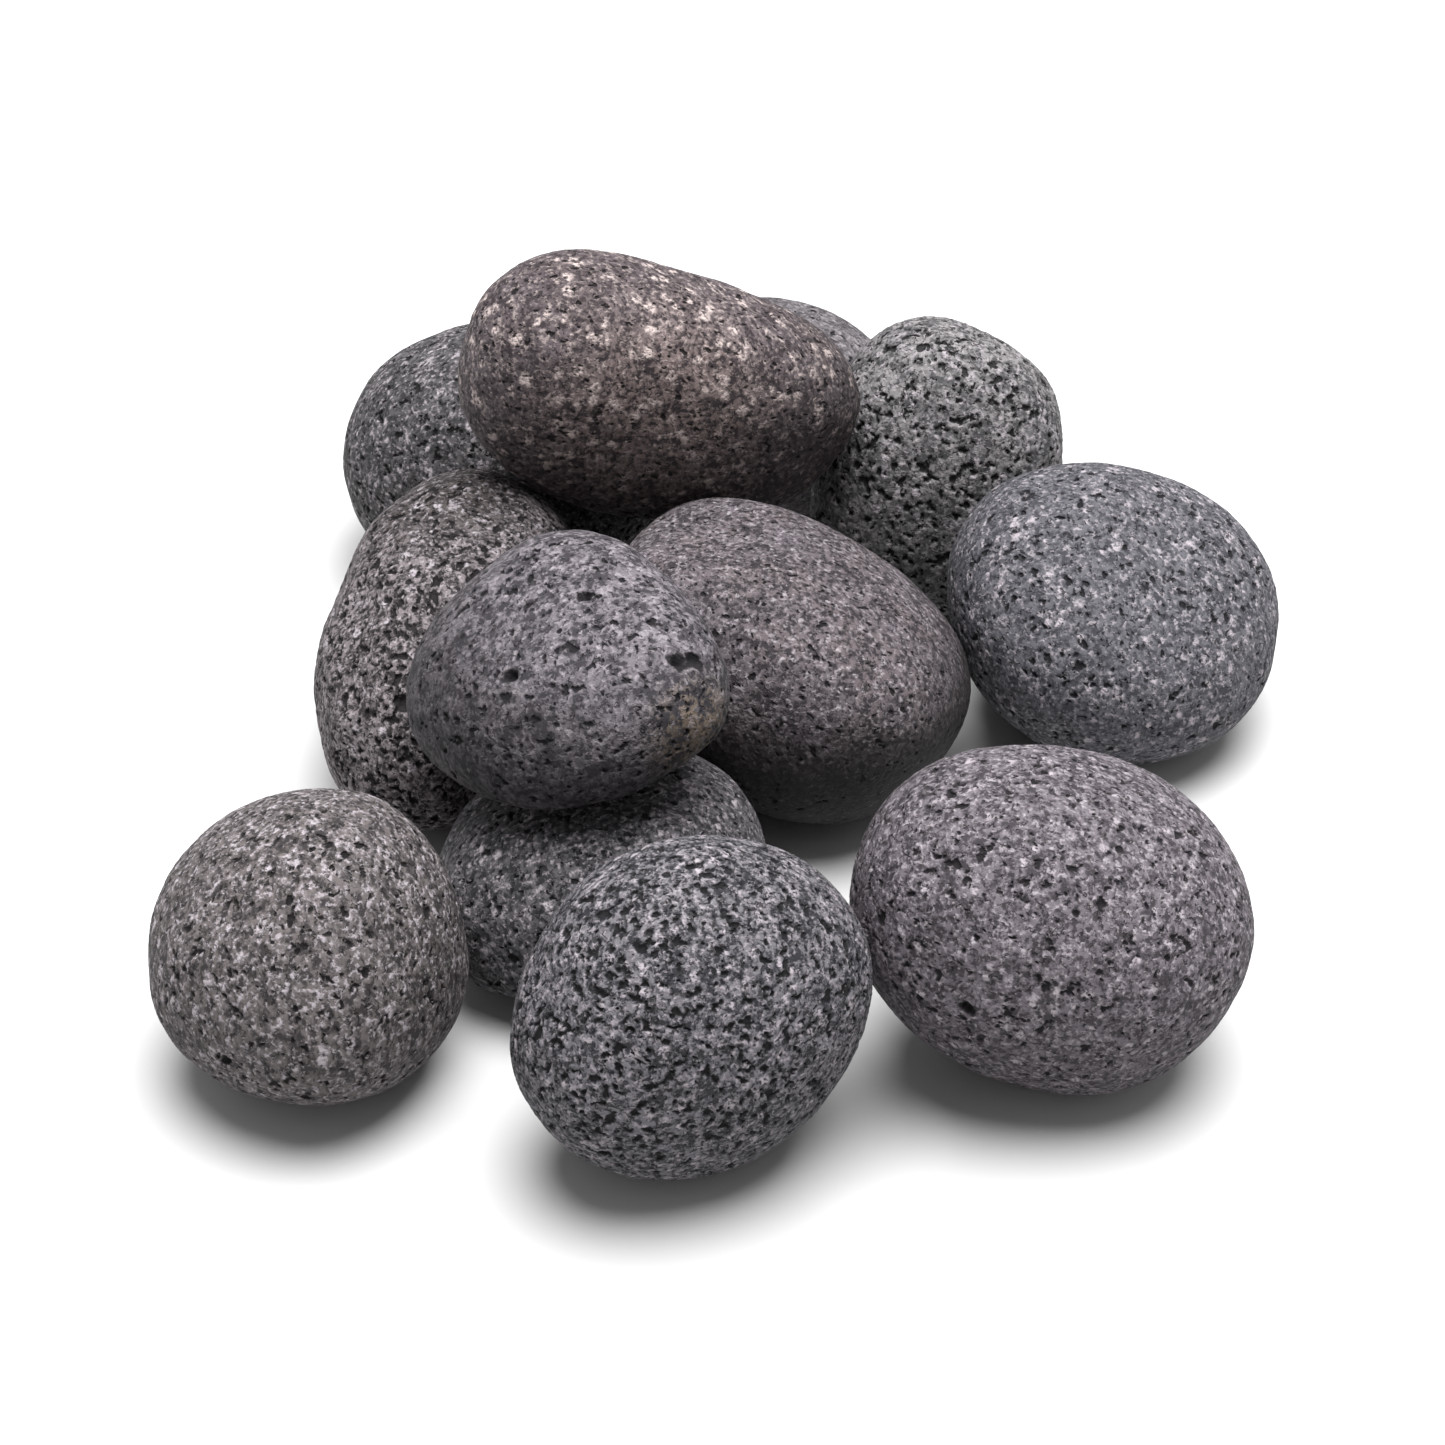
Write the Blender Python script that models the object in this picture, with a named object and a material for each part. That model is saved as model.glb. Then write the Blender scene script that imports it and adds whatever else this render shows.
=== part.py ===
"""A heap of twelve tumbled basalt stones, each one a loose piece that lifts off the heap.

Ten stones stand on the ground and two lie on top. A ground stone is set beside a neighbour, on a
given bearing and pushed in until it all but touches. A top stone is let down onto the heap where
it touches the three stones that carry it. Change the size of any stone and
the others move to suit.

Units are metres, angles are degrees, +Z is up, and the origin is on the ground under the middle
of the heap. Bearings turn anticlockwise from +X.
"""

import math
from dataclasses import dataclass

import bmesh
import bpy
import numpy as np
from mathutils import Euler, Matrix, Vector

MM = 0.001

CONTACT_GAP = 0.4 * MM  # left between stones that touch
LIFT_GAP = 0.6 * MM  # left all round a stone that is lifted straight out of its ring of neighbours
REST_FLAT_DEPTH = 0.6 * MM  # how much is worn off the foot of each ground stone

QUADS_PER_SIDE = 7  # each stone is a cube's six sides of 7 by 7 quads, blown up round
PROBE_COUNT = 5000  # directions in which the gap between two stones is measured
LEVEL_PROBE_COUNT = 720  # the same, all round the horizon
LEAST_ADVANCE = 0.01  # a probe nearer than this to square-on to a way tells nothing about it

SETTLE_ROUNDS = 20  # shifts that a top stone makes to find where it touches all its supports
SETTLE_STRIDE = 6 * MM  # the furthest that it goes in one shift
SETTLE_NUDGE = 0.2 * MM  # how far it is tried to each side first


@dataclass(frozen=True)
class Stone:
    """One stone: how far it reaches from its middle, how full its curves are, and how it lies."""

    name: str
    left: float
    right: float
    front: float
    back: float
    down: float
    up: float
    fullness: float  # 2 is an ellipsoid, and higher values are boxier
    tip: float  # turned about its own X axis
    lean: float  # then about its own Y axis
    turn: float  # then about the vertical
    colour: tuple[float, float, float]
    roughness: float
    beside: str = ""  # the neighbour that a ground stone is pushed up to
    bearing: float = 0.0  # from that neighbour to this stone
    rests_on: tuple[str, ...] = ()  # the stones that carry a top stone
    way_out: tuple[float, float] = (0.0, 90.0)  # bearing and climb of its slide off the heap
    carried_by: str = "centre_stone"  # the stone whose slide carries this one's
    lifts_straight: bool = False  # comes up out of a ring of neighbours

    @property
    def on_ground(self) -> bool:
        """Whether the stone stands on the ground."""
        return not self.rests_on


def centre_stone() -> Stone:
    """Brown-mauve stone in the middle of the heap, which the rest of the heap is built around."""
    return Stone(
        name="centre_stone",
        left=38 * MM,
        right=39 * MM,
        front=35 * MM,
        back=32 * MM,
        down=31 * MM,
        up=22 * MM,
        fullness=2.4,
        tip=-14,
        lean=21,
        turn=-21,
        colour=(0.120, 0.105, 0.105),
        roughness=0.90,
        carried_by="",
    )


def right_stone() -> Stone:
    """Bluish stone at the right-hand end."""
    return Stone(
        name="right_stone",
        left=34 * MM,
        right=37 * MM,
        front=39 * MM,
        back=27 * MM,
        down=29 * MM,
        up=22 * MM,
        fullness=2.1,
        tip=20,
        lean=16,
        turn=7,
        colour=(0.130, 0.135, 0.155),
        roughness=0.88,
        beside="centre_stone",
        bearing=19.6,
        way_out=(340, 10),
    )


def back_right_stone() -> Stone:
    """Greenish stone with coarse pores, standing on end behind the right-hand stone."""
    return Stone(
        name="back_right_stone",
        left=21 * MM,
        right=31 * MM,
        front=20 * MM,
        back=24 * MM,
        down=35 * MM,
        up=32 * MM,
        fullness=2.35,
        tip=-12,
        lean=13,
        turn=-6,
        colour=(0.145, 0.150, 0.135),
        roughness=0.93,
        beside="right_stone",
        bearing=133.5,
        way_out=(35, 45),
    )


def back_middle_stone() -> Stone:
    """Small smooth stone at the back of the heap."""
    return Stone(
        name="back_middle_stone",
        left=26 * MM,
        right=27 * MM,
        front=26 * MM,
        back=26 * MM,
        down=22 * MM,
        up=21 * MM,
        fullness=2.25,
        tip=1,
        lean=12,
        turn=-13,
        colour=(0.190, 0.185, 0.185),
        roughness=0.85,
        beside="back_right_stone",
        bearing=124.7,
        way_out=(85, 10),
    )


def under_stone() -> Stone:
    """Low dark stone in front of the centre stone, under the upper front stone."""
    return Stone(
        name="under_stone",
        left=33 * MM,
        right=32 * MM,
        front=32 * MM,
        back=30 * MM,
        down=16 * MM,
        up=24 * MM,
        fullness=2.35,
        tip=-5,
        lean=-13,
        turn=-8,
        colour=(0.100, 0.098, 0.100),
        roughness=0.92,
        beside="centre_stone",
        bearing=-122.7,
        lifts_straight=True,
    )


def left_stone() -> Stone:
    """Long stone on the left, lying front to back."""
    return Stone(
        name="left_stone",
        left=24 * MM,
        right=30 * MM,
        front=46 * MM,
        back=42 * MM,
        down=28 * MM,
        up=27 * MM,
        fullness=2.2,
        tip=10,
        lean=14,
        turn=-8,
        colour=(0.135, 0.125, 0.115),
        roughness=0.93,
        beside="under_stone",
        bearing=117.8,
        way_out=(190, 8),
    )


def back_left_stone() -> Stone:
    """Neutral grey stone at the back left."""
    return Stone(
        name="back_left_stone",
        left=37 * MM,
        right=36 * MM,
        front=28 * MM,
        back=31 * MM,
        down=28 * MM,
        up=28 * MM,
        fullness=2.25,
        tip=2,
        lean=-11,
        turn=-10,
        colour=(0.125, 0.122, 0.120),
        roughness=0.90,
        beside="left_stone",
        bearing=80.2,
        way_out=(135, 10),
    )


def front_left_stone() -> Stone:
    """Brown-grey stone with pale streaks at the front left."""
    return Stone(
        name="front_left_stone",
        left=35 * MM,
        right=24 * MM,
        front=33 * MM,
        back=24 * MM,
        down=26 * MM,
        up=32 * MM,
        fullness=2.25,
        tip=-14,
        lean=-13,
        turn=-19,
        colour=(0.135, 0.125, 0.115),
        roughness=0.90,
        beside="under_stone",
        bearing=-146.1,
        way_out=(215, 10),
    )


def front_middle_stone() -> Stone:
    """Blue-grey stone with dark pits, nearest the front."""
    return Stone(
        name="front_middle_stone",
        left=35 * MM,
        right=31 * MM,
        front=25 * MM,
        back=27 * MM,
        down=35 * MM,
        up=33 * MM,
        fullness=2.25,
        tip=7,
        lean=28,
        turn=30,
        colour=(0.130, 0.132, 0.145),
        roughness=0.90,
        beside="under_stone",
        bearing=-71.5,
        way_out=(265, 10),
    )


def front_right_stone() -> Stone:
    """The largest ground stone, mauve-grey, at the front right."""
    return Stone(
        name="front_right_stone",
        left=45 * MM,
        right=33 * MM,
        front=30 * MM,
        back=34 * MM,
        down=34 * MM,
        up=29 * MM,
        fullness=2.15,
        tip=4,
        lean=25,
        turn=8,
        colour=(0.140, 0.128, 0.130),
        roughness=0.90,
        beside="front_middle_stone",
        bearing=20.0,
        way_out=(325, 10),
    )


def upper_front_stone() -> Stone:
    """Light stone lying on the under stone, against the centre and left stones."""
    return Stone(
        name="upper_front_stone",
        left=37 * MM,
        right=21 * MM,
        front=43 * MM,
        back=25 * MM,
        down=15 * MM,
        up=22 * MM,
        fullness=2.25,
        tip=-7,
        lean=-19,
        turn=33,
        colour=(0.175, 0.165, 0.170),
        roughness=0.90,
        rests_on=("under_stone", "left_stone", "centre_stone"),
        carried_by="under_stone",
    )


def top_stone() -> Stone:
    """Long reddish stone lying across the back of the heap."""
    return Stone(
        name="top_stone",
        left=41 * MM,
        right=46 * MM,
        front=20 * MM,
        back=20 * MM,
        down=32 * MM,
        up=22 * MM,
        fullness=2.4,
        tip=3,
        lean=24,
        turn=16,
        colour=(0.130, 0.108, 0.100),
        roughness=0.90,
        rests_on=("centre_stone", "back_left_stone", "back_right_stone"),
    )


# Each stone comes after the stones that it is set against.
BUILD_ORDER = (
    centre_stone,
    right_stone,
    back_right_stone,
    back_middle_stone,
    under_stone,
    left_stone,
    back_left_stone,
    front_left_stone,
    front_middle_stone,
    front_right_stone,
    upper_front_stone,
    top_stone,
)


def spread_directions(count: int) -> np.ndarray:
    """Return unit vectors spread evenly over a sphere, on a golden-angle spiral."""
    steps = np.arange(count) + 0.5
    polar = np.arccos(1 - 2 * steps / count)
    around = math.pi * (1 + math.sqrt(5)) * steps
    return np.column_stack(
        (np.cos(around) * np.sin(polar), np.sin(around) * np.sin(polar), np.cos(polar))
    )


def level_directions(count: int) -> np.ndarray:
    """Return unit vectors spread evenly round the horizon."""
    around = np.arange(count) * 2 * math.pi / count
    return np.column_stack((np.cos(around), np.sin(around), np.zeros(count)))


PROBES = spread_directions(PROBE_COUNT)
LEVEL_PROBES = level_directions(LEVEL_PROBE_COUNT)
UP = np.array((0.0, 0.0, 1.0))


def heading(bearing: float, climb: float = 0.0) -> np.ndarray:
    """Return the unit vector that points along a bearing and climbs at an angle."""
    level = math.cos(math.radians(climb))
    return np.array(
        (
            level * math.cos(math.radians(bearing)),
            level * math.sin(math.radians(bearing)),
            math.sin(math.radians(climb)),
        )
    )


def round_cube_directions() -> np.ndarray:
    """Return the corners of a cube's gridded sides, blown up to a sphere with even squares."""
    eighth_turn = math.pi / 4
    grid = np.tan(np.linspace(-eighth_turn, eighth_turn, QUADS_PER_SIDE + 1))
    found = set()
    for axis in range(3):
        for side in (-1.0, 1.0):
            for across in grid:
                for along in grid:
                    corner = np.insert((across, along), axis, side)
                    found.add(tuple(np.round(corner / np.linalg.norm(corner), 9)))
    return np.array(sorted(found))


def attitude(stone: Stone) -> Euler:
    """Return how the stone is turned."""
    return Euler(tuple(math.radians(angle) for angle in (stone.tip, stone.lean, stone.turn)))


def surface_points(stone: Stone) -> np.ndarray:
    """Return points on the stone's surface, in its own axes."""
    directions = round_cube_directions()
    reach_up = np.array((stone.right, stone.back, stone.up))
    reach_down = np.array((stone.left, stone.front, stone.down))
    reach = np.where(directions > 0, reach_up, reach_down)
    swell = (np.abs(directions) ** stone.fullness).sum(axis=1) ** (-1 / stone.fullness)
    return directions * reach * swell[:, None]


def stone_mesh(stone: Stone) -> bpy.types.Mesh:
    """Make the stone's closed convex mesh in its own axes, with a worn foot if it needs one."""
    shell = bmesh.new()
    for point in surface_points(stone):
        shell.verts.new(point)
    bmesh.ops.convex_hull(shell, input=shell.verts)
    if stone.on_ground:
        wear_foot(shell, attitude(stone).to_matrix())
    bmesh.ops.recalc_face_normals(shell, faces=shell.faces)
    mesh = bpy.data.meshes.new(stone.name)
    shell.to_mesh(mesh)
    shell.free()
    mesh.shade_smooth()
    return mesh


def wear_foot(shell: bmesh.types.BMesh, turned: Matrix) -> None:
    """Cut the lowest part of a turned stone off level, which leaves a flat for it to stand on."""
    up = turned.transposed() @ Vector((0, 0, 1))
    foot = min(vertex.co.dot(up) for vertex in shell.verts) + REST_FLAT_DEPTH
    geometry = [*shell.verts, *shell.edges, *shell.faces]
    bmesh.ops.bisect_plane(
        shell, geom=geometry, plane_co=up * foot, plane_no=-up, clear_outer=True
    )
    rim = [edge for edge in shell.edges if edge.is_boundary]
    bmesh.ops.contextual_create(shell, geom=rim)


def turned_points(stone: Stone, mesh: bpy.types.Mesh) -> np.ndarray:
    """Return the mesh's corners with the stone turned as it lies, and its middle at the origin."""
    corners = np.array([vertex.co for vertex in mesh.vertices])
    return corners @ np.array(attitude(stone).to_matrix()).T


@dataclass
class Laid:
    """A stone with its mesh, its turned corners and the place of its middle."""

    stone: Stone
    mesh: bpy.types.Mesh
    corners: np.ndarray
    place: np.ndarray

    def reach(self, probes: np.ndarray) -> np.ndarray:
        """Return how far the stone reaches along each probe, from the origin of the world."""
        return (self.corners @ probes.T).max(axis=0) + probes @ self.place


def gaps_between(fixed: Laid, moving: Laid, probes: np.ndarray) -> np.ndarray:
    """Return the gap from a fixed stone to a moving one, measured along each probe."""
    return -moving.reach(-probes) - fixed.reach(probes)


def travel_to_open(gaps: np.ndarray, probes: np.ndarray, way: np.ndarray, wanted: float) -> float:
    """Return how far a stone has to go along a way until one of its gaps is as wide as wanted."""
    advance = probes @ way
    useful = advance > LEAST_ADVANCE
    return float(((wanted - gaps[useful]) / advance[useful]).min())


def blocked_stretch(fixed: Laid, moving: Laid, way: np.ndarray) -> tuple[float, float]:
    """Return where on its way a ground stone comes too near to a fixed one, from and to."""
    lifted = fixed.stone.lifts_straight or moving.stone.lifts_straight
    probes = LEVEL_PROBES if lifted else PROBES
    wanted = LIFT_GAP if lifted else CONTACT_GAP
    gaps = gaps_between(fixed, moving, probes)
    leaves = travel_to_open(gaps, probes, way, wanted)
    enters = -travel_to_open(gaps, probes, -way, wanted)
    return enters, leaves


def stand_beside(moving: Laid, laid: dict[str, Laid]) -> None:
    """Stand a ground stone beside its neighbour, clear of every stone already there."""
    neighbour = laid[moving.stone.beside]
    foot = moving.corners[:, 2].min()
    moving.place = np.array((neighbour.place[0], neighbour.place[1], -foot))
    way = heading(moving.stone.bearing)
    stretches = sorted(blocked_stretch(fixed, moving, way) for fixed in laid.values())
    travel = 0.0
    for enters, leaves in stretches:
        if enters < travel < leaves:
            travel = leaves
    moving.place = moving.place + way * travel


def rise_onto(gaps: np.ndarray, shift: np.ndarray) -> float:
    """Return how far a shifted stone has to rise to lie on one with the given gaps."""
    return travel_to_open(gaps + PROBES @ shift, PROBES, UP, CONTACT_GAP)


def settle_on(moving: Laid, laid: dict[str, Laid]) -> None:
    """Let a top stone down where it touches its three supports together, clear of all others."""
    supports = [laid[name] for name in moving.stone.rests_on]
    moving.place = np.mean([support.place for support in supports], axis=0)
    all_gaps = [gaps_between(support, moving, PROBES) for support in supports]
    shift = np.zeros(3)
    for _ in range(SETTLE_ROUNDS):
        rises = np.array([rise_onto(gaps, shift) for gaps in all_gaps])
        slopes = np.column_stack(
            [
                [rise_onto(gaps, shift + SETTLE_NUDGE * way) for gaps in all_gaps] - rises
                for way in (heading(0), heading(90))
            ]
        )
        uneven = rises[1:] - rises[0]
        tilt = (slopes[1:] - slopes[0]) / SETTLE_NUDGE
        step = np.linalg.lstsq(tilt, -uneven, rcond=None)[0]
        step = step * min(1, SETTLE_STRIDE / max(np.linalg.norm(step), SETTLE_NUDGE))
        shift = shift + (*step, 0)
    moving.place = moving.place + shift
    clear_of_all = [gaps_between(fixed, moving, PROBES) for fixed in laid.values()]
    moving.place = moving.place + UP * max(rise_onto(gaps, np.zeros(3)) for gaps in clear_of_all)


def lay_heap() -> dict[str, Laid]:
    """Make every stone and lay it, with the origin on the ground under the heap's middle."""
    laid: dict[str, Laid] = {}
    for recipe in BUILD_ORDER:
        stone = recipe()
        mesh = stone_mesh(stone)
        corners = turned_points(stone, mesh)
        piece = Laid(stone, mesh, corners, np.array((0.0, 0.0, -corners[:, 2].min())))
        if stone.rests_on:
            settle_on(piece, laid)
        elif stone.beside:
            stand_beside(piece, laid)
        laid[stone.name] = piece
    everything = np.vstack([piece.corners + piece.place for piece in laid.values()])
    middle = (everything.min(axis=0) + everything.max(axis=0)) / 2
    for piece in laid.values():
        piece.place = piece.place - (middle[0], middle[1], 0)
    return laid


def stone_material(stone: Stone) -> bpy.types.Material:
    """Make the stone's own dull mineral material."""
    material = bpy.data.materials.new(stone.name)
    material.use_nodes = True
    shader = material.node_tree.nodes["Principled BSDF"]
    shader.inputs["Base Color"].default_value = (*stone.colour, 1)
    shader.inputs["Roughness"].default_value = stone.roughness
    shader.inputs["Metallic"].default_value = 0
    return material


def slide_empty(piece: Laid) -> bpy.types.Object:
    """Make the empty at a stone's middle whose Z axis is the way the stone comes off the heap."""
    empty = bpy.data.objects.new(f"slide_{piece.stone.name}", None)
    empty.empty_display_size = 20 * MM
    way = Vector(heading(*piece.stone.way_out))
    empty.rotation_euler = way.to_track_quat("Z", "Y").to_euler()
    empty.location = piece.place
    return empty


def hang(child: bpy.types.Object, parent: bpy.types.Object) -> None:
    """Parent an object without moving it."""
    bpy.context.view_layer.update()
    child.parent = parent
    child.matrix_parent_inverse = parent.matrix_world.inverted()


def add_stone(piece: Laid, slides: dict[str, bpy.types.Object]) -> None:
    """Add one stone to the scene, parented to the empty that it slides along."""
    stone = piece.stone
    thing = bpy.data.objects.new(stone.name, piece.mesh)
    thing.data.materials.append(stone_material(stone))
    thing.rotation_euler = attitude(stone)
    thing.location = piece.place
    bpy.context.scene.collection.objects.link(thing)
    if stone.carried_by:
        slide = slide_empty(piece)
        bpy.context.scene.collection.objects.link(slide)
        carrier = slides.get(stone.carried_by)
        if carrier:
            hang(slide, carrier)
        hang(thing, slide)
        slides[stone.name] = slide


def main() -> None:
    """Clear the scene and build the heap."""
    for thing in list(bpy.data.objects):
        bpy.data.objects.remove(thing, do_unlink=True)
    slides: dict[str, bpy.types.Object] = {}
    for piece in lay_heap().values():
        add_stone(piece, slides)


main()
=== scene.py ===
"""Looks of a heap of tumbled basalt stones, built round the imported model.

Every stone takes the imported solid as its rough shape. Its skin is smoothed, worn into lumps and
dents, and opened into pores by one geometry node tree, and it gets a speckled mineral finish.
"""

from __future__ import annotations

import logging
import math
from dataclasses import dataclass, field
from enum import Enum

import bmesh
import bpy
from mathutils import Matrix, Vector
from mathutils.bvhtree import BVHTree


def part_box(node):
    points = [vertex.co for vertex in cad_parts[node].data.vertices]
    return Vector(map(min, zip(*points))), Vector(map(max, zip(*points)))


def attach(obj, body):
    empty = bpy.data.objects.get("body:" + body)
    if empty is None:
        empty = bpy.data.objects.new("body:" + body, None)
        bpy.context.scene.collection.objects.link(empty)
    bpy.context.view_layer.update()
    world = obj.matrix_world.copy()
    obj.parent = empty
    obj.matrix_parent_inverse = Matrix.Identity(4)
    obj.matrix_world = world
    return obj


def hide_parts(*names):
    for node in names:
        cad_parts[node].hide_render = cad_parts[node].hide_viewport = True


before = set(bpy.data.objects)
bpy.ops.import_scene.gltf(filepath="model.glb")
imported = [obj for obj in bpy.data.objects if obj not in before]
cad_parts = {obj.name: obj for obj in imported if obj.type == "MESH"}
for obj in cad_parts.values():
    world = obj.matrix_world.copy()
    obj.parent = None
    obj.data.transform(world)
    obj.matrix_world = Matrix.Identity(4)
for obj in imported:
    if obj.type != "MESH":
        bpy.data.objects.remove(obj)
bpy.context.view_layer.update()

PIT_ATTRIBUTE = "pit"
Colour = tuple[float, float, float]
Band = tuple[float, float]

# The rough shape. Sizes here and below are in metres.
MERGE_REACH = 0.00001  # corners nearer than this are one corner
JOIN_ANGLE = 70.0  # two triangles are joined into a quad up to this angle, in degrees
SMOOTHING_LOSS = 0.6  # how far smoothing pulls a corner in, as a share of how far it stands out
GROUND_GAP = 0.00005  # how high above the ground every point stays

# The worn skin.
HOLE_RADIUS = 0.005  # a dent smaller than this is an open hole, with painted shade inside
HOLE_FLOOR = 0.5  # the share of a hole's radius where the painted shade is full
DENT_FLOOR = 0.15  # the share of a dent's radius that is at its full depth
LUMP_MIDDLE = 1.2  # over 1, so that lumps are worn in more than they stand out
FACET_SPACING = 0.024
FACET_EDGE = 0.9  # where a facet ends, as a share of the spacing
FACET_MIDDLE = 0.8
CROWDING_SPACING = 0.013  # how far apart the patches with more pores are
CROWDING_BAND: Band = (0.35, 0.60)
CROWDING_RISE = 0.045  # how much further the pores open in such a patch
CROWDING_MIDDLE = 0.02
PORE_RIM = 0.09  # how far below its level the noise is at a pore's full depth
SKIN_SEED_STEP = (0.61, 0.43, 0.29)  # how far a step of the seed moves the skin's noises

# The rock's colours. A band is where a noise goes from having no effect to its full effect.
GRAIN_SIZE = 0.0013
CLOUD_SIZE = 0.0040
PATCH_SIZE = 0.014
CHIP_SIZE = 0.0010  # how large the chips are that break the crystals' rims
BODY_BAND: Band = (0.38, 0.60)
BLUSH_BAND: Band = (0.40, 0.64)
PATCH_BAND: Band = (0.40, 0.62)
PATCH_STRENGTH = 0.5
STAIN_MIDDLE = 0.3  # the share of a stain's radius where it is strongest
LARGE_CHIP_BAND: Band = (0.34, 0.58)
SMALL_CHIP_BAND: Band = (0.42, 0.62)
SALT_BAND: Band = (0.51, 0.73)
PEPPER_SHARE = 0.58  # the size of the dark specks, as a share of the pores' size
PEPPER_BAND: Band = (0.01, -0.08)  # counted from the level at which the pores open
PEPPER_STRENGTH = 0.85
PIT_BAND: Band = (0.1, 0.7)
PIT_SHADE = 0.25  # how bright the dark specks and the painted shade in pits and at the foot are, as a share of the rock's dark
# how strongly the dark specks and the painted shade in pits darken the rock
PIT_STRENGTH = 0.95
SMALL_CRYSTAL = 0.5  # the spacing of the small crystals, as a share of the large ones'
SEED_STEP = (0.37, 0.53, 0.71)  # how far a step of the seed moves the colours' noises

# The rock's fine relief and its shine.
RELIEF_HEIGHT = 0.00048
GRAIN_RELIEF = 0.6
SALT_RELIEF = 0.25
CRYSTAL_RELIEF = 0.2
PIT_RELIEF = 0.9
PIT_ROUGHENING = 0.1
CRYSTAL_SMOOTHING = 0.15

log = logging.getLogger("basalt_heap")


class Pores(Enum):
    """How open a stone's skin is.

    Each gives the size of the pores (m), the noise level below which they open, and how deep
    they are (m).
    """

    FINE = (0.0015, 0.37, 0.00035)
    SCATTERED = (0.0020, 0.395, 0.0006)
    CROWDED = (0.0018, 0.44, 0.0007)
    COARSE = (0.0018, 0.425, 0.0008)


class Mineral(Enum):
    """Pale crystals in the rock.

    Each gives their spacing (m), the share of places with one, and how bright the crystals and
    the fine dust between them are.
    """

    DUSTED = (0.0018, 0.32, 0.60, 0.40)
    FLECKED = (0.0030, 0.50, 0.85, 0.55)
    STREAKED = (0.0024, 0.60, 0.90, 0.65)
    BLOTTED = (0.0038, 0.85, 0.90, 0.38)


class Value:
    """A node socket that holds a number, with the usual operators."""

    def __init__(self, bench: NodeBench, socket: bpy.types.NodeSocket) -> None:
        """Wrap a socket that belongs to a bench's tree."""
        self.bench = bench
        self.socket = socket

    def _math(self, operation: str, *others: Value | float) -> Value:
        """Add a Math node that starts with this value.

        Args:
            operation: the Math node's operation.
            others: its second and third values.

        Returns:
            The node's result.
        """
        return self.bench.math(operation, self, *others)

    def __add__(self, other: Value | float) -> Value:
        """Return self + other."""
        return self._math("ADD", other)

    __radd__ = __add__

    def __sub__(self, other: Value | float) -> Value:
        """Return self - other."""
        return self._math("SUBTRACT", other)

    def __rsub__(self, other: float) -> Value:
        """Return other - self."""
        return self.bench.math("SUBTRACT", other, self)

    def __mul__(self, other: Value | float) -> Value:
        """Return self * other."""
        return self._math("MULTIPLY", other)

    __rmul__ = __mul__

    def __rtruediv__(self, other: float) -> Value:
        """Return other / self."""
        return self.bench.math("DIVIDE", other, self)

    def above(self, limit: Value | float) -> Value:
        """Return 1 where the value is over the limit, else 0."""
        return self._math("GREATER_THAN", limit)

    def largest(self, other: Value | float) -> Value:
        """Return the larger of two values."""
        return self._math("MAXIMUM", other)

    def ramp(self, low: Value | float, high: Value | float) -> Value:
        """Return a smooth step from 0 at low to 1 at high.

        Args:
            low: where the step starts; it may be above high, for a step down.
            high: where it ends.

        Returns:
            The step.
        """
        node = self.bench.add(
            "ShaderNodeMapRange",
            {"interpolation_type": "SMOOTHSTEP"},
            {"Value": self, "From Min": low, "From Max": high},
        )
        return Value(self.bench, node.outputs["Result"])


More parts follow.
